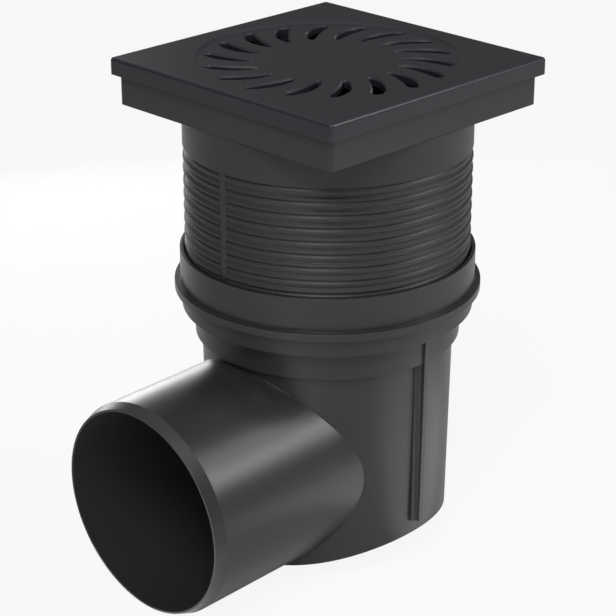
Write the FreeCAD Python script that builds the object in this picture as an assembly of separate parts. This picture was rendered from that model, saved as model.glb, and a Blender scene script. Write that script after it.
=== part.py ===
"""Gully trap: a slotted grate on a ribbed riser, in the socket of a trap body with a 110 mm outlet.

Millimetres. +Z is up along the shaft. The origin is on the shaft axis, at the lowest line of the floor's
outside. The outlet leaves towards -Y and falls with the drain. The two side fins stand on +X and -X.
"""
import FreeCAD, Part
import math
import os

from FreeCAD import Vector

UP = Vector(0, 0, 1)
ORIGIN = Vector(0, 0, 0)
OVERCUT = 5.0            # how far a cutting tool runs past the face that it opens

# Gaps between pieces
TURN_GAP = 0.3           # radial, riser in socket and seal in its groove
SEAT_GAP = 0.3           # sideways, grate on the riser's box and insert in the body
RING_GAP = 0.1           # radial, insert's ring in its groove and against the body

# Outlet spigot
OUTLET_R = 55.0          # outside, over the calibrated length that enters the drain's socket
OUTLET_WALL = 3.2
OUTLET_SINK = 4.1        # how far its lowest line passes below the floor, at the shaft axis
OUTLET_FALL = 1.5        # degrees
SPIGOT_LEN = 64.5        # along its axis, from the pot to the mouth
SPIGOT_TUCK = 18.0       # how far inside the pot its wall starts under the floor
CALIBRATED_LEN = 50.5
ROOT_DRAFT = 0.5         # degrees, wider from the calibrated length towards the pot
OUTLET_CHAMFER_LEN = 5.6
OUTLET_CHAMFER = 2.1

# Pot of the trap body
POT_HEADROOM = 1.3       # from the outlet's crown, where it would cross the shaft axis, to the pot's top
POT_DRAFT = 0.9          # degrees, narrower towards the floor
POT_WALL = 2.7
POT_STEP = 3.3           # the ring above stands out past the pot, for the insert's seat inside
FLOOR_BELLY_R = 183.0    # the floor is a trough with this radius across the outlet's direction
FLOOR_FALL = 2.75        # degrees, towards the outlet
FLOOR_WALL = 2.8
POT_UNDERCUT = 20.0      # the pot is turned this far below the origin and then trimmed by the floor

# Steps of the trap body above the pot
INSERT_RING_H = 14.9
LEDGE = 2.6              # thickness of the two inner ledges
LEDGE_SHOW = 3.0         # how far the riser's ledge shows inside its bore
SOCKET_LOW_H = 9.4       # from the shoulder to the bead
SOCKET_LOW_WALL = 1.6
BEAD_H = 3.9
BEAD_PROUD = 3.0
SOCKET_H = 17.0          # from the bead to the mouth
SOCKET_WALL = 2.3
SOCKET_LEAD_H = 0.8      # lead-in chamfer in the mouth
SOCKET_LEAD_W = 0.6

# Side fins of the trap body
FIN_THICK = 3.0
FIN_PROUD = 4.4
FIN_LOW_Z = 18.6
FIN_ROOT_R = 2.5
FIN_TRIM = 4.0           # how far the fin is drawn past its real edge before it is trimmed to the draft

# Riser: ribbed tube
TUBE_WALL = 4.2
TUBE_END_CHAMFER = 1.2
SEAL_GROOVE_LIFT = 2.4   # land left below the groove
SEAL_GROOVE_W = 3.6
SEAL_GROOVE_DEPTH = 2.4
SEAL_LIP = 1.0           # how far the seal's upper edge stands back from its lip
SEAL_LAND = 2.85         # land above the groove, below the lowest rib
RIB_PITCH = 6.55
RIB_COUNT = 11
RIB_DEPTH = 1.4
RIB_CREST = 1.3
RIB_UNDERCUT = 0.9
RIB_GAP = 4.0            # width of the break in the ribs, above the outlet and opposite
RIB_GAP_DEPTH = 0.6      # how far the plain strip there lies below the crests
COLLAR_H = 18.05         # plain tube above the ribs

# Riser: square box on top of the tube
BOX_H = 18.55
BOX_PROUD = 0.1          # how far the box's sides stand out past the tube
BOX_WALL = 2.8
BOX_CORNER_R = 2.5
BOX_FLOOR = 3.0

# Grate
GRATE_SIDE = 150.0       # nominal size of the gully
GRATE_THICK = 5.0
GRATE_LIP = 8.4
LIP_WALL = 2.8
GRATE_EDGE_R = 1.6
GRATE_CORNER_R = 1.8
DISH_BORDER = 9.9        # flat border round the dish, at the middle of a side
DISH_DEPTH = 1.0
DISH_SLOPE = 1.2
SLOT_COUNT = 18
SLOT_BORDER = 6.3        # from the dish's edge to the centre of a slot's wide outer end
SLOT_RUN = 22.0          # radially, from there to the centre of its narrow inner end
SLOT_PHASE = 7.0         # degrees, bearing of the first slot's inner end
SLOT_SWEEP = 10.2        # degrees by which the outer end trails
SLOT_BOW = 2.2
SLOT_IN_W = 2.0
SLOT_MID_W = 5.8
SLOT_OUT_W = 4.6
SLOT_EDGE = 0.9          # chamfer round each slot's upper edge
STIFF_W = 2.4
STIFF_DEPTH = 4.5
STIFF_BORDER = 1.5       # from the dish's edge to the outer stiffening ring, underneath
STIFF_SETBACK = 6.8      # from the slots' inner ends to the inner stiffening ring

# Lift-out odour trap
INSERT_RIM_W = 4.8
INSERT_RIM_H = 7.5
INSERT_GROOVE_W = 3.4
INSERT_GROOVE_DEPTH = 2.4
INSERT_SEAL_FACE = 1.2   # height of the band that bears on the body's wall
FUNNEL_WALL = 2.2
FUNNEL_DROP = 9.0        # from the rim's foot to the dip tube
DIP_R = 25.0
DIP_WALL = 2.2
DIP_REACH = 77.8         # from the rim's foot to the dip tube's mouth
HANDLE_W = 9.0
HANDLE_H = 3.0
HANDLE_ROOT = 1.0        # how far the bar's ends run into the rim
STAY_COUNT = 3
STAY_THICK = 2.4
STAY_LIFT = 12.0         # from the dip tube's mouth to the stays' foot
LUG_W = 6.0
LUG_H = 3.6

# Cup of the odour trap
SEAL_DEPTH = 50.0        # water over the dip tube's mouth
CUP_R = 38.2
CUP_WALL = 2.2
CUP_FLOOR = 2.4
CUP_UNDER_DIP = 12.0     # clear height between cup floor and dip tube
CUP_ABOVE_LUG = 4.0
WINDOW_SLACK = 0.6

# Radii and sides worked out from the sizes above, from the grate inwards and down
box_side = GRATE_SIDE - 2 * (LIP_WALL + SEAT_GAP)
dish_r = GRATE_SIDE / 2 - DISH_BORDER
slot_out_r = dish_r - SLOT_BORDER
slot_in_r = slot_out_r - SLOT_RUN
stiff_out_r = dish_r - STIFF_BORDER
stiff_in_r = slot_in_r - STIFF_SETBACK
tube_r = box_side / 2 - BOX_PROUD
tube_bore_r = tube_r - TUBE_WALL
socket_bore_r = tube_r + TURN_GAP
socket_r = socket_bore_r + SOCKET_WALL
socket_low_r = socket_bore_r + SOCKET_LOW_WALL
bead_r = socket_r + BEAD_PROUD
ledge_bore_r = tube_bore_r - LEDGE_SHOW
insert_ring_r = ledge_bore_r + POT_WALL
pot_top_r = insert_ring_r - POT_STEP
outlet_len = pot_top_r + SPIGOT_LEN
outlet_root = pot_top_r - SPIGOT_TUCK

# Heights worked out from the sizes above, from the outlet up
outlet_z = OUTLET_R - OUTLET_SINK
pot_top_z = outlet_z + OUTLET_R + POT_HEADROOM
seat_z = pot_top_z + LEDGE
shoulder_z = pot_top_z + INSERT_RING_H
ledge_z = shoulder_z + LEDGE
bead_low_z = shoulder_z + SOCKET_LOW_H
bead_high_z = bead_low_z + BEAD_H
socket_top_z = bead_high_z + SOCKET_H
groove_low_z = ledge_z + TUBE_END_CHAMFER + SEAL_GROOVE_LIFT
groove_high_z = groove_low_z + SEAL_GROOVE_W
ribs_low_z = groove_high_z + SEAL_LAND
collar_low_z = ribs_low_z + RIB_COUNT * RIB_PITCH
box_low_z = collar_low_z + COLLAR_H
box_top_z = box_low_z + BOX_H
grate_top_z = box_top_z + GRATE_THICK
dish_z = grate_top_z - DISH_DEPTH
dip_low_z = seat_z - DIP_REACH
stay_low_z = dip_low_z + STAY_LIFT
water_z = dip_low_z + SEAL_DEPTH


def pot_r(z):
    """Outer radius of the drafted pot at height z."""
    return pot_top_r - (pot_top_z - z) * math.tan(math.radians(POT_DRAFT))


def turned(points):
    """Solid turned about the shaft axis from (radius, height) points."""
    wire = Part.makePolygon([Vector(r, 0, z) for r, z in points + points[:1]])
    return Part.Face(wire).revolve(ORIGIN, UP, 360)


def tube(r_out, r_in, z_low, z_high):
    """Straight ring between two heights."""
    return turned([(r_in, z_low), (r_out, z_low), (r_out, z_high), (r_in, z_high)])


def block(x_low, x_high, y_low, y_high, z_low, z_high):
    """Box between two corners."""
    return Part.makeBox(x_high - x_low, y_high - y_low, z_high - z_low, Vector(x_low, y_low, z_low))


def square_prism(side, corner_r, z_low, z_high):
    """Upright prism with a square plan and rounded corners."""
    half = side / 2
    prism = block(-half, half, -half, half, z_low, z_high)
    upright = [edge for edge in prism.Edges if abs(edge.tangentAt(edge.FirstParameter).z) > 0.99]
    return prism.makeFillet(corner_r, upright)


def around(shape, count, start=0.0):
    """Copies of a shape at even turns about the shaft axis."""
    copies = []
    for number in range(count):
        copy = shape.copy()
        copy.rotate(ORIGIN, UP, start + number * 360.0 / count)
        copies.append(copy)
    return copies


def one_solid(shape):
    """The shape without seams between like faces, as its single solid."""
    clean = shape.removeSplitter()
    return clean.Solids[0] if len(clean.Solids) == 1 else clean


def polar(radius, degrees):
    """Point at a radius and a bearing about the shaft axis."""
    angle = math.radians(degrees)
    return Vector(radius * math.cos(angle), radius * math.sin(angle), 0)


def outlet_direction():
    """Direction of the outlet's falling axis, away from the shaft."""
    fall = math.radians(OUTLET_FALL)
    return Vector(0, -math.cos(fall), -math.sin(fall))


def outlet_bar(radius, start, end):
    """Solid bar on the outlet's axis, between two distances from the shaft axis."""
    along = outlet_direction()
    return Part.makeCylinder(radius, end - start, Vector(0, 0, outlet_z) + along * start, along)


def outlet_taper(start_r, end_r, start, end):
    """Solid bar on the outlet's axis that narrows from one radius to the other."""
    along = outlet_direction()
    return Part.makeCone(start_r, end_r, end - start, Vector(0, 0, outlet_z) + along * start, along)


def floor_trough(radius):
    """Long horizontal cylinder whose underside is the bellied floor at the given radius."""
    fall = math.radians(FLOOR_FALL)
    along = Vector(0, math.cos(fall), math.sin(fall))
    reach = socket_top_z
    base = Vector(0, 0, FLOOR_BELLY_R) - along * reach
    return Part.makeCylinder(radius, 2 * reach, base, along)


def outlet_spigot():
    """Outside of the outlet: drafted root, calibrated length and the chamfer at its mouth."""
    shank_end = outlet_len - OUTLET_CHAMFER_LEN
    root_end = shank_end - CALIBRATED_LEN
    root_r = OUTLET_R + root_end * math.tan(math.radians(ROOT_DRAFT))
    below_floor = outlet_bar(root_r + OVERCUT, 0, outlet_root).cut(floor_trough(FLOOR_BELLY_R))
    root = outlet_taper(root_r, OUTLET_R, 0, root_end).cut(below_floor)
    tip = outlet_taper(OUTLET_R, OUTLET_R - OUTLET_CHAMFER, shank_end, outlet_len)
    return outlet_bar(OUTLET_R, root_end, shank_end).fuse([root, tip])


def side_fin():
    """Upright fin on the +X side, flared at its root and drafted like the pot."""
    half = FIN_THICK / 2
    root_x = pot_r(shoulder_z)
    start_x = root_x - POT_WALL
    flare_x = root_x + FIN_ROOT_R
    end_x = root_x + FIN_PROUD + FIN_TRIM
    flare = half + FIN_ROOT_R
    bend = FIN_ROOT_R * (1 - math.sqrt(0.5))
    low_arc = Part.Arc(Vector(root_x, -flare, 0), Vector(root_x + bend, -half - bend, 0),
                       Vector(flare_x, -half, 0)).toShape()
    high_arc = Part.Arc(Vector(flare_x, half, 0), Vector(root_x + bend, half + bend, 0),
                        Vector(root_x, flare, 0)).toShape()
    edges = [
        Part.makeLine(Vector(start_x, -flare, 0), Vector(root_x, -flare, 0)),
        low_arc,
        Part.makeLine(Vector(flare_x, -half, 0), Vector(end_x, -half, 0)),
        Part.makeLine(Vector(end_x, -half, 0), Vector(end_x, half, 0)),
        Part.makeLine(Vector(end_x, half, 0), Vector(flare_x, half, 0)),
        high_arc,
        Part.makeLine(Vector(root_x, flare, 0), Vector(start_x, flare, 0)),
        Part.makeLine(Vector(start_x, flare, 0), Vector(start_x, -flare, 0)),
    ]
    plan = Part.Face(Part.Wire(edges))
    fin = plan.extrude(Vector(0, 0, shoulder_z - FIN_LOW_Z))
    fin.translate(Vector(0, 0, FIN_LOW_Z))
    envelope = turned([(0, FIN_LOW_Z), (pot_r(FIN_LOW_Z) + FIN_PROUD, FIN_LOW_Z),
                       (pot_r(shoulder_z) + FIN_PROUD, shoulder_z), (0, shoulder_z)])
    return fin.common(envelope)


def trap_body():
    """Socket, stepped shoulders, pot with its bellied floor, fins and outlet, as one moulding."""
    low_z = -POT_UNDERCUT
    outside = turned([
        (0, low_z), (pot_r(low_z), low_z), (pot_top_r, pot_top_z),
        (insert_ring_r, pot_top_z), (insert_ring_r, shoulder_z),
        (socket_low_r, shoulder_z), (socket_low_r, bead_low_z),
        (bead_r, bead_low_z), (bead_r, bead_high_z),
        (socket_r, bead_high_z), (socket_r, socket_top_z), (0, socket_top_z)])
    top = socket_top_z + OVERCUT
    lead_r = socket_bore_r + SOCKET_LEAD_W
    inside = turned([
        (0, low_z), (pot_r(low_z) - POT_WALL, low_z), (pot_top_r - POT_WALL, pot_top_z),
        (pot_top_r - POT_WALL, seat_z), (ledge_bore_r, seat_z), (ledge_bore_r, ledge_z),
        (socket_bore_r, ledge_z), (socket_bore_r, socket_top_z - SOCKET_LEAD_H),
        (lead_r, socket_top_z), (lead_r, top), (0, top)])
    fin = side_fin()
    inner_floor = floor_trough(FLOOR_BELLY_R - FLOOR_WALL)
    shell = outside.common(floor_trough(FLOOR_BELLY_R))
    shell = shell.fuse(around(fin, 2)).fuse(outlet_spigot())
    shell = shell.cut(inside.common(inner_floor))
    bore_r = OUTLET_R - OUTLET_WALL
    wall_y = pot_r(outlet_z) - POT_WALL
    opening = outlet_bar(bore_r, 0, wall_y + OVERCUT).common(inner_floor)
    drain = outlet_bar(bore_r, outlet_root + OVERCUT, outlet_len + OVERCUT)
    return one_solid(shell.cut(opening).cut(drain))


def rib_profile():
    """Outer points of the ribbed tube from the collar down to the seal groove's land."""
    points = [(tube_r, collar_low_z)]
    for number in range(RIB_COUNT):
        top = collar_low_z - number * RIB_PITCH
        crest_low = top - RIB_PITCH
        crest_high = crest_low + RIB_CREST
        groove_high = top - RIB_UNDERCUT
        points.append((tube_r - RIB_DEPTH, groove_high))
        points.append((tube_r, crest_high))
        points.append((tube_r, crest_low))
    return points


def riser():
    """Square box, smooth collar and ribbed tube, as one moulding."""
    groove_r = tube_r - SEAL_GROOVE_DEPTH
    high_z = box_low_z + BOX_FLOOR
    shaft = turned(
        [(tube_bore_r, high_z), (tube_r, high_z)] + rib_profile()
        + [(tube_r, groove_high_z), (groove_r, groove_high_z), (groove_r, groove_low_z),
           (tube_r, groove_low_z), (tube_r, ledge_z + TUBE_END_CHAMFER),
           (tube_r - TUBE_END_CHAMFER, ledge_z), (tube_bore_r, ledge_z)])
    gap = block(-RIB_GAP / 2, RIB_GAP / 2, -tube_r - OVERCUT, tube_r + OVERCUT, ribs_low_z, collar_low_z)
    strip = gap.common(tube(tube_r - RIB_GAP_DEPTH, tube_bore_r, ribs_low_z, collar_low_z))
    outer = gap.common(tube(tube_r + OVERCUT, tube_r - RIB_GAP_DEPTH, ribs_low_z, collar_low_z))
    shaft = shaft.cut(outer).fuse(strip)
    box = square_prism(box_side, BOX_CORNER_R, box_low_z, box_top_z)
    room = square_prism(box_side - 2 * BOX_WALL, BOX_CORNER_R, high_z, box_top_z + OVERCUT)
    bore = Part.makeCylinder(tube_bore_r, BOX_FLOOR + 2 * OVERCUT, Vector(0, 0, box_low_z - OVERCUT))
    return one_solid(box.cut(room).cut(bore).fuse(shaft))


def riser_seal():
    """Rubber ring in the riser's lowest groove, with its lip towards the socket."""
    low = groove_low_z + TURN_GAP
    high = groove_high_z - TURN_GAP
    inner = tube_r - SEAL_GROOVE_DEPTH + TURN_GAP
    outer = socket_bore_r - TURN_GAP
    return turned([(inner, low), (outer, low), (outer - SEAL_LIP, high), (inner, high)])


def touching_arc(inner, outer, middle, side):
    """Start, middle and end of the arc through a middle point that touches both end circles of a slot.

    The end circles lie inside the arc's circle on the leading side, 1, and outside on the trailing side, -1.
    """
    in_r = SLOT_IN_W / 2
    out_r = SLOT_OUT_W / 2
    to_in = middle - inner
    to_out = middle - outer
    in_sum = (middle.dot(middle) - inner.dot(inner) + in_r ** 2) / 2
    out_sum = (middle.dot(middle) - outer.dot(outer) + out_r ** 2) / 2
    area = to_in.x * to_out.y - to_in.y * to_out.x
    fixed = Vector(in_sum * to_out.y - out_sum * to_in.y, to_in.x * out_sum - to_out.x * in_sum, 0) / area
    drift = Vector(out_r * to_in.y - in_r * to_out.y, to_out.x * in_r - to_in.x * out_r, 0) * (side / area)
    offset = fixed - middle
    square = drift.dot(drift) - 1
    linear = offset.dot(drift)
    root = math.sqrt(linear ** 2 - square * offset.dot(offset))
    radius = max((-linear + root) / square, (-linear - root) / square)
    centre = fixed + drift * radius
    ends = []
    for point in (inner, outer):
        ends.append(centre + (point - centre).normalize() * radius)
    return ends[0], middle, ends[1]


def slot_outline(z):
    """Closed outline of a swept slot at height z."""
    inner = polar(slot_in_r, SLOT_PHASE)
    outer = polar(slot_out_r, SLOT_PHASE - SLOT_SWEEP)
    run = (outer - inner).normalize()
    left = Vector(-run.y, run.x, 0)
    middle = (inner + outer) * 0.5 + left * SLOT_BOW
    half = left * (SLOT_MID_W / 2)
    lead = touching_arc(inner, outer, middle + half, 1)
    trail = touching_arc(inner, outer, middle - half, -1)
    in_tip = inner - run * (SLOT_IN_W / 2)
    out_tip = outer + run * (SLOT_OUT_W / 2)
    edges = [Part.Arc(lead[0], lead[1], lead[2]).toShape(),
             Part.Arc(lead[2], out_tip, trail[2]).toShape(),
             Part.Arc(trail[2], trail[1], trail[0]).toShape(),
             Part.Arc(trail[0], in_tip, lead[0]).toShape()]
    outline = Part.Wire(edges)
    outline.translate(Vector(0, 0, z))
    return outline


def slot_tool():
    """Cutter for one slot, through the plate."""
    low = box_top_z - OVERCUT
    return Part.Face(slot_outline(low)).extrude(Vector(0, 0, dish_z + OVERCUT - low))


def slot_rims(shape):
    """Upper edges of all slots, which lie on the dish inside its sloped border."""
    border = dish_r - DISH_SLOPE
    rims = []
    for edge in shape.Edges:
        span = edge.BoundBox
        level = abs(span.ZMin - dish_z) < 0.001 and abs(span.ZMax - dish_z) < 0.001
        reach = max(math.hypot(vertex.X, vertex.Y) for vertex in edge.Vertexes)
        if level and reach < border - SLOT_EDGE:
            rims.append(edge)
    return rims


def grate():
    """Square plate with a rolled lip, a round dish and a ring of swept slots."""
    lip_low = grate_top_z - GRATE_LIP
    plate = square_prism(GRATE_SIDE, GRATE_CORNER_R, lip_low, grate_top_z)
    upper = [edge for edge in plate.Edges if abs(edge.BoundBox.ZMin - grate_top_z) < 0.01]
    plate = plate.makeFillet(GRATE_EDGE_R, upper)
    room = square_prism(box_side + 2 * SEAT_GAP, BOX_CORNER_R + SEAT_GAP, lip_low - OVERCUT, box_top_z)
    dish = turned([(0, dish_z), (dish_r - DISH_SLOPE, dish_z), (dish_r, grate_top_z),
                   (dish_r, grate_top_z + OVERCUT), (0, grate_top_z + OVERCUT)])
    low = box_top_z - STIFF_DEPTH
    rings = [tube(r, r - STIFF_W, low, box_top_z) for r in (stiff_in_r, stiff_out_r)]
    body = one_solid(plate.cut(room).cut(dish).fuse(rings).cut(around(slot_tool(), SLOT_COUNT)))
    return one_solid(body.makeChamfer(SLOT_EDGE, slot_rims(body)))


def trap_insert():
    """Lift-out funnel with its rim, handle bar, dip tube and the stays that carry the cup."""
    rim_r = ledge_bore_r - SEAT_GAP
    rim_in_r = rim_r - INSERT_RIM_W
    rim_top = seat_z + INSERT_RIM_H
    groove_r = rim_r - INSERT_GROOVE_DEPTH
    groove_low = seat_z + (INSERT_RIM_H - INSERT_GROOVE_W) / 2
    groove_high = groove_low + INSERT_GROOVE_W
    neck_z = seat_z - FUNNEL_DROP
    dip_in_r = DIP_R - DIP_WALL
    pot_bore_r = pot_top_r - POT_WALL - SEAT_GAP
    funnel = turned([
        (rim_in_r, rim_top), (rim_r, rim_top), (rim_r, groove_high), (groove_r, groove_high),
        (groove_r, groove_low), (rim_r, groove_low), (rim_r, seat_z), (pot_bore_r, seat_z),
        (DIP_R, neck_z), (DIP_R, dip_low_z), (dip_in_r, dip_low_z),
        (dip_in_r, neck_z + FUNNEL_WALL), (rim_in_r, seat_z + FUNNEL_WALL)])
    bar_x = rim_in_r + HANDLE_ROOT
    bar = block(-bar_x, bar_x, -HANDLE_W / 2, HANDLE_W / 2, rim_top - HANDLE_H, rim_top)
    stay_r = CUP_R - CUP_WALL - SEAT_GAP
    lug_high = water_z + WINDOW_SLACK + LUG_H
    stay = block(DIP_R - DIP_WALL / 2, stay_r, -STAY_THICK / 2, STAY_THICK / 2, stay_low_z, lug_high)
    lug = block(stay_r - STAY_THICK, CUP_R, -LUG_W / 2, LUG_W / 2, lug_high - LUG_H, lug_high)
    stays = around(stay.fuse(lug), STAY_COUNT, 90)
    return one_solid(funnel.fuse([bar] + stays))


def insert_seal():
    """Rubber ring in the insert's rim."""
    rim_r = ledge_bore_r - SEAT_GAP
    inner = rim_r - INSERT_GROOVE_DEPTH + RING_GAP
    outer = ledge_bore_r - RING_GAP
    half = INSERT_GROOVE_W / 2 - RING_GAP
    face = INSERT_SEAL_FACE / 2
    middle = seat_z + INSERT_RIM_H / 2
    return turned([(inner, middle - half), (outer, middle - face),
                   (outer, middle + face), (inner, middle + half)])


def trap_cup():
    """Cup round the dip tube, hung on the stays' lugs by windows under its rim."""
    floor_top = dip_low_z - CUP_UNDER_DIP
    inner = CUP_R - CUP_WALL
    lug_high = water_z + WINDOW_SLACK + LUG_H
    rim_z = lug_high + CUP_ABOVE_LUG
    cup = turned([(0, floor_top - CUP_FLOOR), (CUP_R - CUP_FLOOR, floor_top - CUP_FLOOR),
                  (CUP_R, floor_top), (CUP_R, rim_z), (inner, rim_z), (inner, floor_top), (0, floor_top)])
    half = LUG_W / 2 + WINDOW_SLACK
    window = block(inner - OVERCUT, CUP_R + OVERCUT, -half, half, water_z, lug_high)
    return one_solid(cup.cut(around(window, STAY_COUNT, 90)))


def main():
    """Write one STEP file for each piece."""
    os.makedirs("parts", exist_ok=True)
    pieces = {
        "trap_body": trap_body(),
        "riser": riser(),
        "riser_seal": riser_seal(),
        "grate": grate(),
        "trap_insert": trap_insert(),
        "insert_seal": insert_seal(),
        "trap_cup": trap_cup(),
    }
    for name, shape in pieces.items():
        shape.exportStep("parts/" + name + ".step")
        volume = round(shape.Volume / 1000, 1)
        print(name, "solids", len(shape.Solids), "valid", shape.isValid(), "cm3", volume)


main()
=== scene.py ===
"""Gully trap in dark plastic: a slotted grate on a ribbed riser, in the socket of a trap body with an outlet.

Metres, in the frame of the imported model. The outlet leaves towards -Y and the grate is on top.
"""
import math

import bmesh
import bpy
from mathutils import Matrix, Vector


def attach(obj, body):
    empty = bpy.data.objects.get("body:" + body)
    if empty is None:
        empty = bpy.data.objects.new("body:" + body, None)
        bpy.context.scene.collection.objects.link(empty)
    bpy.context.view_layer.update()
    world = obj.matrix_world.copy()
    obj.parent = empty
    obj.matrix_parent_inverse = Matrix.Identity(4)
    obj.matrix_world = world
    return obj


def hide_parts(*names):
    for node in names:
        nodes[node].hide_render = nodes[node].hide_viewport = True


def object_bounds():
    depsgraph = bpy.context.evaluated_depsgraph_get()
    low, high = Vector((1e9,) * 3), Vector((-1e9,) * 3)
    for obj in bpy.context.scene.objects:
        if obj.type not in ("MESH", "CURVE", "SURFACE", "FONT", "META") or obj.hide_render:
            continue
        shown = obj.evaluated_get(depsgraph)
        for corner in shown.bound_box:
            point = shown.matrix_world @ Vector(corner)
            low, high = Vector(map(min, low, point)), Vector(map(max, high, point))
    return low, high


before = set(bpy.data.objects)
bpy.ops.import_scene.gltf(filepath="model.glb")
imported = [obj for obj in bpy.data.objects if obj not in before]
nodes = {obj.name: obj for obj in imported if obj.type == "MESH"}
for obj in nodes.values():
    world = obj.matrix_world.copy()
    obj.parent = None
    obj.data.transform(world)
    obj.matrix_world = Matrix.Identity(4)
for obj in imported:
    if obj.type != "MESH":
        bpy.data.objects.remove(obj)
cad_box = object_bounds()
scene = bpy.context.scene

# Camera
# A long lens from the front right, a little above the grate, with the picture's centre
# moved off the lens axis as in the photograph.
CAMERA_PLACE = Vector((0.6657, -0.6826, 0.5254))
CAMERA_LOOK = Vector((-0.63633, 0.65247, -0.41154))
CAMERA_ROLL = math.radians(0.206)
CAMERA_SENSOR = 36.0
PHOTO_SIDE = 616
FOCAL_PIXELS = 2030.2
CENTRE_PIXEL = (327.23, 346.02)

look = CAMERA_LOOK.normalized()
level_right = look.cross(Vector((0, 0, 1))).normalized()
level_up = level_right.cross(look)
right = level_right * math.cos(CAMERA_ROLL) + level_up * math.sin(CAMERA_ROLL)
up = right.cross(look)
lens_data = bpy.data.cameras.new("camera")
lens_data.sensor_width = CAMERA_SENSOR
lens_data.lens = FOCAL_PIXELS * CAMERA_SENSOR / PHOTO_SIDE
lens_data.shift_x = (PHOTO_SIDE / 2 - CENTRE_PIXEL[0]) / PHOTO_SIDE
lens_data.shift_y = (CENTRE_PIXEL[1] - PHOTO_SIDE / 2) / PHOTO_SIDE
camera = bpy.data.objects.new("camera", lens_data)
turn = Matrix((right, up, -look)).transposed()
camera.matrix_world = Matrix.Translation(CAMERA_PLACE) @ turn.to_4x4()
scene.collection.objects.link(camera)
scene.camera = camera

# Trap body
# One injection moulding in dark grey polypropylene: socket, stepped shoulders, pot, fins and outlet.
# Its edges are as the tool leaves them, with a small round. It is bedded in the ground and holds the rest.
BODY_LIGHT = "#363636"
BODY_DARK = "#313131"
BODY_ROUGHNESS = (0.32, 0.37)
BODY_ROUND = 0.00045
PLASTIC_IOR = 1.49
GRAIN_MM = 0.7          # coarser than the real grain, so that it shows
GRAIN_DEPTH = 0.00003
GRAIN_STRENGTH = 0.35
FLOW_MM = 60.0
MIX_FIRST = 6           # colour sockets of a Mix node, whose names it gives to other sockets too
MIX_SECOND = 7
MIX_COLOUR = 2
ROUND_STEPS = 3
EDGE_ANGLE = math.radians(14)
SMOOTH_ANGLE = math.radians(35)
FLAT_ANGLE = math.radians(0.15)
MERGE_GAP = 0.000005


def paint(code):
    """Linear colour of an sRGB hex value."""
    parts = [int(code[start:start + 2], 16) / 255 for start in (1, 3, 5)]
    linear = [part / 12.92 if part <= 0.04045 else ((part + 0.055) / 1.055) ** 2.4 for part in parts]
    return (*linear, 1.0)


def add_node(tree, kind, settings, links):
    """New shader node, with its settings and what is linked to its inputs."""
    node = tree.nodes.new(kind)
    for name, value in settings.items():
        if name in node.inputs:
            node.inputs[name].default_value = value
        else:
            setattr(node, name, value)
    for name, socket in links.items():
        tree.links.new(socket, node.inputs[name])
    return node


def moulded(name, light, dark, roughness, grain_mm=GRAIN_MM, flow_mm=FLOW_MM, grain_depth=GRAIN_DEPTH):
    """Moulded plastic or rubber: two near shades in slow flow marks, and a grain that breaks up the sheen."""
    material = bpy.data.materials.new(name)
    material.use_nodes = True
    tree = material.node_tree
    tree.nodes.clear()
    place = add_node(tree, "ShaderNodeTexCoord", {}, {}).outputs["Object"]
    flow = add_node(tree, "ShaderNodeTexNoise",
                    {"Scale": 1000 / flow_mm, "Detail": 3.0, "Roughness": 0.55}, {"Vector": place})
    grain = add_node(tree, "ShaderNodeTexNoise",
                     {"Scale": 1000 / grain_mm, "Detail": 2.0, "Roughness": 0.6}, {"Vector": place})
    shade = add_node(tree, "ShaderNodeMix", {"data_type": "RGBA"}, {"Factor": flow.outputs["Fac"]})
    shade.inputs[MIX_FIRST].default_value = paint(dark)
    shade.inputs[MIX_SECOND].default_value = paint(light)
    sheen = add_node(tree, "ShaderNodeMapRange", {"To Min": roughness[0], "To Max": roughness[1]},
                     {"Value": flow.outputs["Fac"]})
    bump = add_node(tree, "ShaderNodeBump", {"Strength": GRAIN_STRENGTH, "Distance": grain_depth},
                    {"Height": grain.outputs["Fac"]})
    surface = add_node(tree, "ShaderNodeBsdfPrincipled", {"IOR": PLASTIC_IOR},
                       {"Base Color": shade.outputs[MIX_COLOUR], "Roughness": sheen.outputs["Result"],
                        "Normal": bump.outputs["Normal"]})
    add_node(tree, "ShaderNodeOutputMaterial", {}, {"Surface": surface.outputs["BSDF"]})
    return material


def finish_shading(piece):
    """Smooth shading over gentle bends only, with normals that keep large faces flat."""
    bpy.ops.object.shade_smooth_by_angle(angle=SMOOTH_ANGLE)
    even = piece.modifiers.new("even_faces", "WEIGHTED_NORMAL")
    even.keep_sharp = True
    bpy.ops.object.modifier_apply(modifier=even.name)


def rounded_moulding(name, node, body, radius, material):
    """Copy of a CAD node with its flat faces joined and its edges rounded, which stands for the node."""
    bpy.ops.object.select_all(action="DESELECT")
    piece = nodes[node].copy()
    piece.data = nodes[node].data.copy()
    piece.name = name
    piece.parent = None
    for key in list(piece.keys()):
        del piece[key]
    scene.collection.objects.link(piece)
    piece.select_set(True)
    bpy.context.view_layer.objects.active = piece
    bpy.ops.object.mode_set(mode="EDIT")
    bpy.ops.mesh.select_all(action="SELECT")
    bpy.ops.mesh.remove_doubles(threshold=MERGE_GAP)
    bpy.ops.mesh.dissolve_limited(angle_limit=FLAT_ANGLE)
    bpy.ops.mesh.customdata_custom_splitnormals_clear()
    bpy.ops.object.mode_set(mode="OBJECT")
    bevel = piece.modifiers.new("edge_round", "BEVEL")
    bevel.width = radius
    bevel.segments = ROUND_STEPS
    bevel.limit_method = "ANGLE"
    bevel.angle_limit = EDGE_ANGLE
    bevel.use_clamp_overlap = True
    bpy.ops.object.modifier_apply(modifier=bevel.name)
    finish_shading(piece)
    piece.data.materials.clear()
    piece.data.materials.append(material)
    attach(piece, body)
    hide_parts(node)
    return piece


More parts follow.
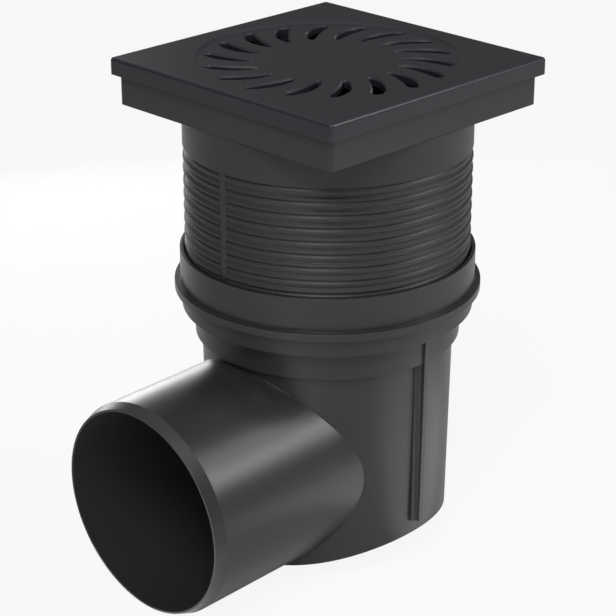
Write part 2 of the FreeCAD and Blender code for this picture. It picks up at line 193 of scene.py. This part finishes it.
# Injection-moulded polypropylene: satin, with a wide soft highlight along the outlet and down the pot.
body_plastic = moulded("moulded_polypropylene_body", BODY_LIGHT, BODY_DARK, BODY_ROUGHNESS)
rounded_moulding("trap_body_moulding", "trap_body", "body", BODY_ROUND, body_plastic)

# Riser
# One moulding in the same plastic: square box, smooth collar and ribbed tube, which slides and turns in the
# socket. Between two narrow crests the wall swells softly, so that each groove is two hollows with a bulge.
RISER_ROUGHNESS = (0.44, 0.49)
RISER_ROUND = 0.00042
RIB_COUNT = 11
RIB_PITCH = 0.00655
RIBS_LOW = 0.13475
RIB_GAP_HALF = 0.00205
GROOVE_FLOOR = 0.0703
CREST_RADIUS = 0.0718
# Heights above a crest's foot, and the radii there.
GROOVE_OUTLINE = ((0.0009, CREST_RADIUS), (0.0018, 0.0706), (0.0040, 0.07125), (0.00565, 0.0704))
RIB_OUTLINE = ((0.0, CREST_RADIUS), *GROOVE_OUTLINE, (RIB_PITCH, CREST_RADIUS))
CUTS_PER_STRETCH = 3
CUT_GAP = 0.00002


def rib_radius(height):
    """Radius of the ribbed wall at a height above a crest's foot, on soft curves through the outline."""
    for (low, low_radius), (high, high_radius) in zip(RIB_OUTLINE, RIB_OUTLINE[1:]):
        if height <= high:
            share = (1 - math.cos(math.pi * (height - low) / (high - low))) / 2
            return low_radius + (high_radius - low_radius) * share
    return RIB_OUTLINE[-1][1]


def swell_grooves(piece):
    """Cuts rings into the grooves of the ribbed tube and moves them to the soft outline."""
    shape = bmesh.new()
    shape.from_mesh(piece.data)
    for number in range(RIB_COUNT):
        foot = RIBS_LOW + number * RIB_PITCH
        faces = []
        for face in shape.faces:
            middle = face.calc_center_median()
            if foot < middle.z < foot + RIB_PITCH and math.hypot(middle.x, middle.y) > GROOVE_FLOOR:
                faces.append(face)
        ring = set(faces)
        for face in faces:
            ring.update(face.edges)
            ring.update(face.verts)
        band = list(ring)
        for (low, _), (high, _) in zip(GROOVE_OUTLINE, GROOVE_OUTLINE[1:]):
            for step in range(CUTS_PER_STRETCH):
                height = low + (high - low) * step / CUTS_PER_STRETCH
                cut = bmesh.ops.bisect_plane(shape, geom=band, dist=CUT_GAP, plane_no=(0, 0, 1),
                                             plane_co=(0, 0, foot + height))
                band = cut["geom"]
    top = RIBS_LOW + RIB_COUNT * RIB_PITCH
    for point in shape.verts:
        radius = math.hypot(point.co.x, point.co.y)
        if radius > GROOVE_FLOOR and RIBS_LOW < point.co.z < top and abs(point.co.x) > RIB_GAP_HALF:
            wanted = rib_radius((point.co.z - RIBS_LOW) % RIB_PITCH)
            point.co.x *= wanted / radius
            point.co.y *= wanted / radius
    shape.to_mesh(piece.data)
    shape.free()


# The same polypropylene with a duller skin: a thin calm highlight on each rib.
riser_plastic = moulded("moulded_polypropylene_riser", BODY_LIGHT, BODY_DARK, RISER_ROUGHNESS)
riser_moulding = rounded_moulding("riser_moulding", "riser", "riser", RISER_ROUND,
                                  riser_plastic)
swell_grooves(riser_moulding)
finish_shading(riser_moulding)

# Grate
# One moulding in a slightly bluer dark plastic, with rounded slot edges, a dish and a rolled lip.
# It lies loose in the riser's box, and is lifted out to clean the trap.
GRATE_LIGHT = "#2E2E34"
GRATE_DARK = "#29292F"
GRATE_ROUGHNESS = (0.30, 0.35)
GRATE_ROUND = 0.0003

# Polypropylene with a bluish black pigment: darker and satin, so that the slots' edges catch light.
grate_plastic = moulded("moulded_polypropylene_grate", GRATE_LIGHT, GRATE_DARK, GRATE_ROUGHNESS)
rounded_moulding("grate_moulding", "grate", "riser", GRATE_ROUND, grate_plastic)

# Odour trap
# Insert and cup, two mouldings in plain black-grey polypropylene. The insert hangs by its rim on the body's
# ledge and the cup on the insert's lugs. Both are seen only through the slots and the outlet.
INSERT_LIGHT = "#2A2A2A"
INSERT_DARK = "#252525"
INSERT_ROUGHNESS = (0.45, 0.52)
INSERT_ROUND = 0.0003

# Plain polypropylene with a dull skin, so that nothing glints in the dark of the slots.
insert_plastic = moulded("moulded_polypropylene_insert", INSERT_LIGHT, INSERT_DARK, INSERT_ROUGHNESS)
for node in ("trap_insert", "trap_cup"):
    rounded_moulding(node + "_moulding", node, "body", INSERT_ROUND, insert_plastic)

# Seals
# Two moulded rubber rings. The riser's seal sits in the riser's lowest groove and the insert's seal under the
# insert's rim, and both stay in their grooves.
RUBBER_LIGHT = "#1B1B1B"
RUBBER_DARK = "#141414"
RUBBER_ROUGHNESS = (0.62, 0.72)
RUBBER_GRAIN_MM = 0.5
RUBBER_FLOW_MM = 12.0
RUBBER_GRAIN_DEPTH = 0.00004

# Moulded EPDM rubber: matt black, with a faint cloudy bloom.
rubber = moulded("moulded_epdm_rubber", RUBBER_LIGHT, RUBBER_DARK, RUBBER_ROUGHNESS, RUBBER_GRAIN_MM,
                 RUBBER_FLOW_MM, RUBBER_GRAIN_DEPTH)
for ring in ("riser_seal", "insert_seal"):
    nodes[ring].data.materials.clear()
    nodes[ring].data.materials.append(rubber)

# Floor and light
# A pale studio floor in a dim room with a paler ceiling. Three soft lamps stand near the camera, three at the
# right and four behind at the left, of which two are near and low, for the outlet's crown and mouth. Two
# small cards on the floor throw light up under the bead and the outlet.
FLOOR_GAP = 0.0002
FLOOR_SIDE = 12.0
FLOOR_TONE = "#F2F2F2"
FLOOR_WHITE_SHARE = 0.9
FLOOR_SHINE = 0.4
FLOOR_BACKWARDS = (-0.7, 0.7, 0)
FLOOR_SHINE_START = 0.05
FLOOR_SHINE_FULL = 0.45
ROOM_DIM = 0.05
ROOM_SHINE = 0.07
CEILING_SHINE = 0.55
CEILING_START = 0.5
CEILING_FULL = 0.85

bpy.ops.object.select_all(action="DESELECT")
bpy.ops.mesh.primitive_plane_add(size=FLOOR_SIDE, location=(0, 0, cad_box[0][2] - FLOOR_GAP))
floor = bpy.context.active_object
floor.name = "studio_floor"

# Matt white paint: nearly white to the camera, with the object's shadow, and dimmer where it is mirrored.
floor_paint = bpy.data.materials.new("painted_floor")
floor_paint.use_nodes = True
tree = floor_paint.node_tree
tree.nodes.clear()
path = add_node(tree, "ShaderNodeLightPath", {}, {})
place = add_node(tree, "ShaderNodeTexCoord", {}, {})
behind = add_node(tree, "ShaderNodeVectorMath", {"operation": "DOT_PRODUCT"},
                  {"Vector": place.outputs["Object"]})
behind.inputs[1].default_value = FLOOR_BACKWARDS
distance = add_node(tree, "ShaderNodeMapRange",
                    {"From Min": FLOOR_SHINE_START, "From Max": FLOOR_SHINE_FULL, "To Max": FLOOR_SHINE},
                    {"Value": behind.outputs["Value"]})
seen = add_node(tree, "ShaderNodeMath", {"operation": "MULTIPLY"}, {})
tree.links.new(path.outputs["Is Camera Ray"], seen.inputs[0])
seen.inputs[1].default_value = FLOOR_WHITE_SHARE
mirrored = add_node(tree, "ShaderNodeMath", {"operation": "MULTIPLY"}, {})
tree.links.new(path.outputs["Is Glossy Ray"], mirrored.inputs[0])
tree.links.new(distance.outputs["Result"], mirrored.inputs[1])
share = add_node(tree, "ShaderNodeMath", {"operation": "ADD"}, {})
tree.links.new(seen.outputs["Value"], share.inputs[0])
tree.links.new(mirrored.outputs["Value"], share.inputs[1])
matt = add_node(tree, "ShaderNodeBsdfDiffuse", {"Color": paint(FLOOR_TONE)}, {})
white = add_node(tree, "ShaderNodeEmission", {"Color": (1, 1, 1, 1), "Strength": 1.0}, {})
both = add_node(tree, "ShaderNodeMixShader", {}, {"Fac": share.outputs["Value"]})
tree.links.new(matt.outputs["BSDF"], both.inputs[1])
tree.links.new(white.outputs["Emission"], both.inputs[2])
add_node(tree, "ShaderNodeOutputMaterial", {}, {"Surface": both.outputs["Shader"]})
floor.data.materials.append(floor_paint)

# The room is white to the camera, and to the plastic dark at the sides and paler overhead.
room = bpy.data.worlds.new("studio_room")
room.use_nodes = True
tree = room.node_tree
tree.nodes.clear()
path = add_node(tree, "ShaderNodeLightPath", {}, {})
way = add_node(tree, "ShaderNodeTexCoord", {}, {})
axes = add_node(tree, "ShaderNodeSeparateXYZ", {}, {"Vector": way.outputs["Generated"]})
ceiling = add_node(tree, "ShaderNodeMapRange",
                   {"From Min": CEILING_START, "From Max": CEILING_FULL, "To Min": ROOM_SHINE,
                    "To Max": CEILING_SHINE}, {"Value": axes.outputs["Z"]})
mirrored = add_node(tree, "ShaderNodeMath", {"operation": "MULTIPLY"}, {})
tree.links.new(path.outputs["Is Glossy Ray"], mirrored.inputs[0])
tree.links.new(ceiling.outputs["Result"], mirrored.inputs[1])
seen = add_node(tree, "ShaderNodeMath", {"operation": "ADD"}, {})
tree.links.new(path.outputs["Is Camera Ray"], seen.inputs[0])
tree.links.new(mirrored.outputs["Value"], seen.inputs[1])
strength = add_node(tree, "ShaderNodeMath", {"operation": "ADD"}, {})
tree.links.new(seen.outputs["Value"], strength.inputs[0])
strength.inputs[1].default_value = ROOM_DIM
white = add_node(tree, "ShaderNodeBackground", {"Color": (1, 1, 1, 1)},
                 {"Strength": strength.outputs["Value"]})
add_node(tree, "ShaderNodeOutputWorld", {}, {"Surface": white.outputs["Background"]})
scene.world = room

# Each lamp faces the middle of the object. After its name come its angle above the floor and its bearing, in
# degrees, its distance, its width and height, in metres, and its watts.
LIT_MIDDLE = Vector((0, 0, 0.12))
LAMPS = (
    ("front_lamp", 40, 308, 2.0, 0.7, 0.7, 8.0),
    ("front_high_lamp", 54, 300, 2.0, 0.7, 0.7, 11.5),
    ("front_low_lamp", 12, 305, 2.0, 0.8, 0.8, 2.0),
    ("right_lamp", 27, 37, 2.0, 0.45, 0.45, 9.6),
    ("right_high_lamp", 42, 46, 2.0, 0.4, 0.4, 4.0),
    ("right_edge_lamp", 5, 105, 2.0, 0.6, 0.6, 1.2),
    ("back_left_lamp", 24, 149, 2.0, 0.3, 0.3, 0.4),
    ("back_low_lamp", 0, 158, 2.0, 1.0, 0.3, 5.2),
    ("back_crown_lamp", 4, 148, 0.6, 0.3, 0.18, 0.5),
    ("back_mouth_lamp", 4, 164, 0.6, 0.2, 0.2, 0.3),
)
for name, rise, bearing, far, wide, high, power in LAMPS:
    lamp_data = bpy.data.lights.new(name, "AREA")
    lamp_data.shape = "RECTANGLE"
    lamp_data.size = wide
    lamp_data.size_y = high
    lamp_data.energy = power
    slope = Vector((-math.cos(math.radians(rise)), 0, -math.sin(math.radians(rise))))
    aim = Matrix.Rotation(math.radians(bearing), 3, "Z") @ slope
    place = LIT_MIDDLE - aim * far
    lamp = bpy.data.objects.new(name, lamp_data)
    lamp.matrix_world = Matrix.Translation(place) @ aim.to_track_quat("-Z", "Y").to_matrix().to_4x4()
    lamp.visible_camera = False
    scene.collection.objects.link(lamp)

# Each card lies close to the floor and faces up: its place beside the object and its watts.
CARD_SIDE = 0.2
CARD_HEIGHT = 0.003
CARDS = (
    ("right_card", (0.17, 0.10), 0.12),
    ("front_card", (0.04, -0.22), 0.10),
)
for name, place, power in CARDS:
    card_data = bpy.data.lights.new(name, "AREA")
    card_data.size = CARD_SIDE
    card_data.energy = power
    card = bpy.data.objects.new(name, card_data)
    spot = Matrix.Translation((*place, cad_box[0][2] + CARD_HEIGHT))
    card.matrix_world = spot @ Matrix.Rotation(math.pi, 4, "X")
    card.visible_camera = False
    scene.collection.objects.link(card)

scene.view_settings.view_transform = "Standard"
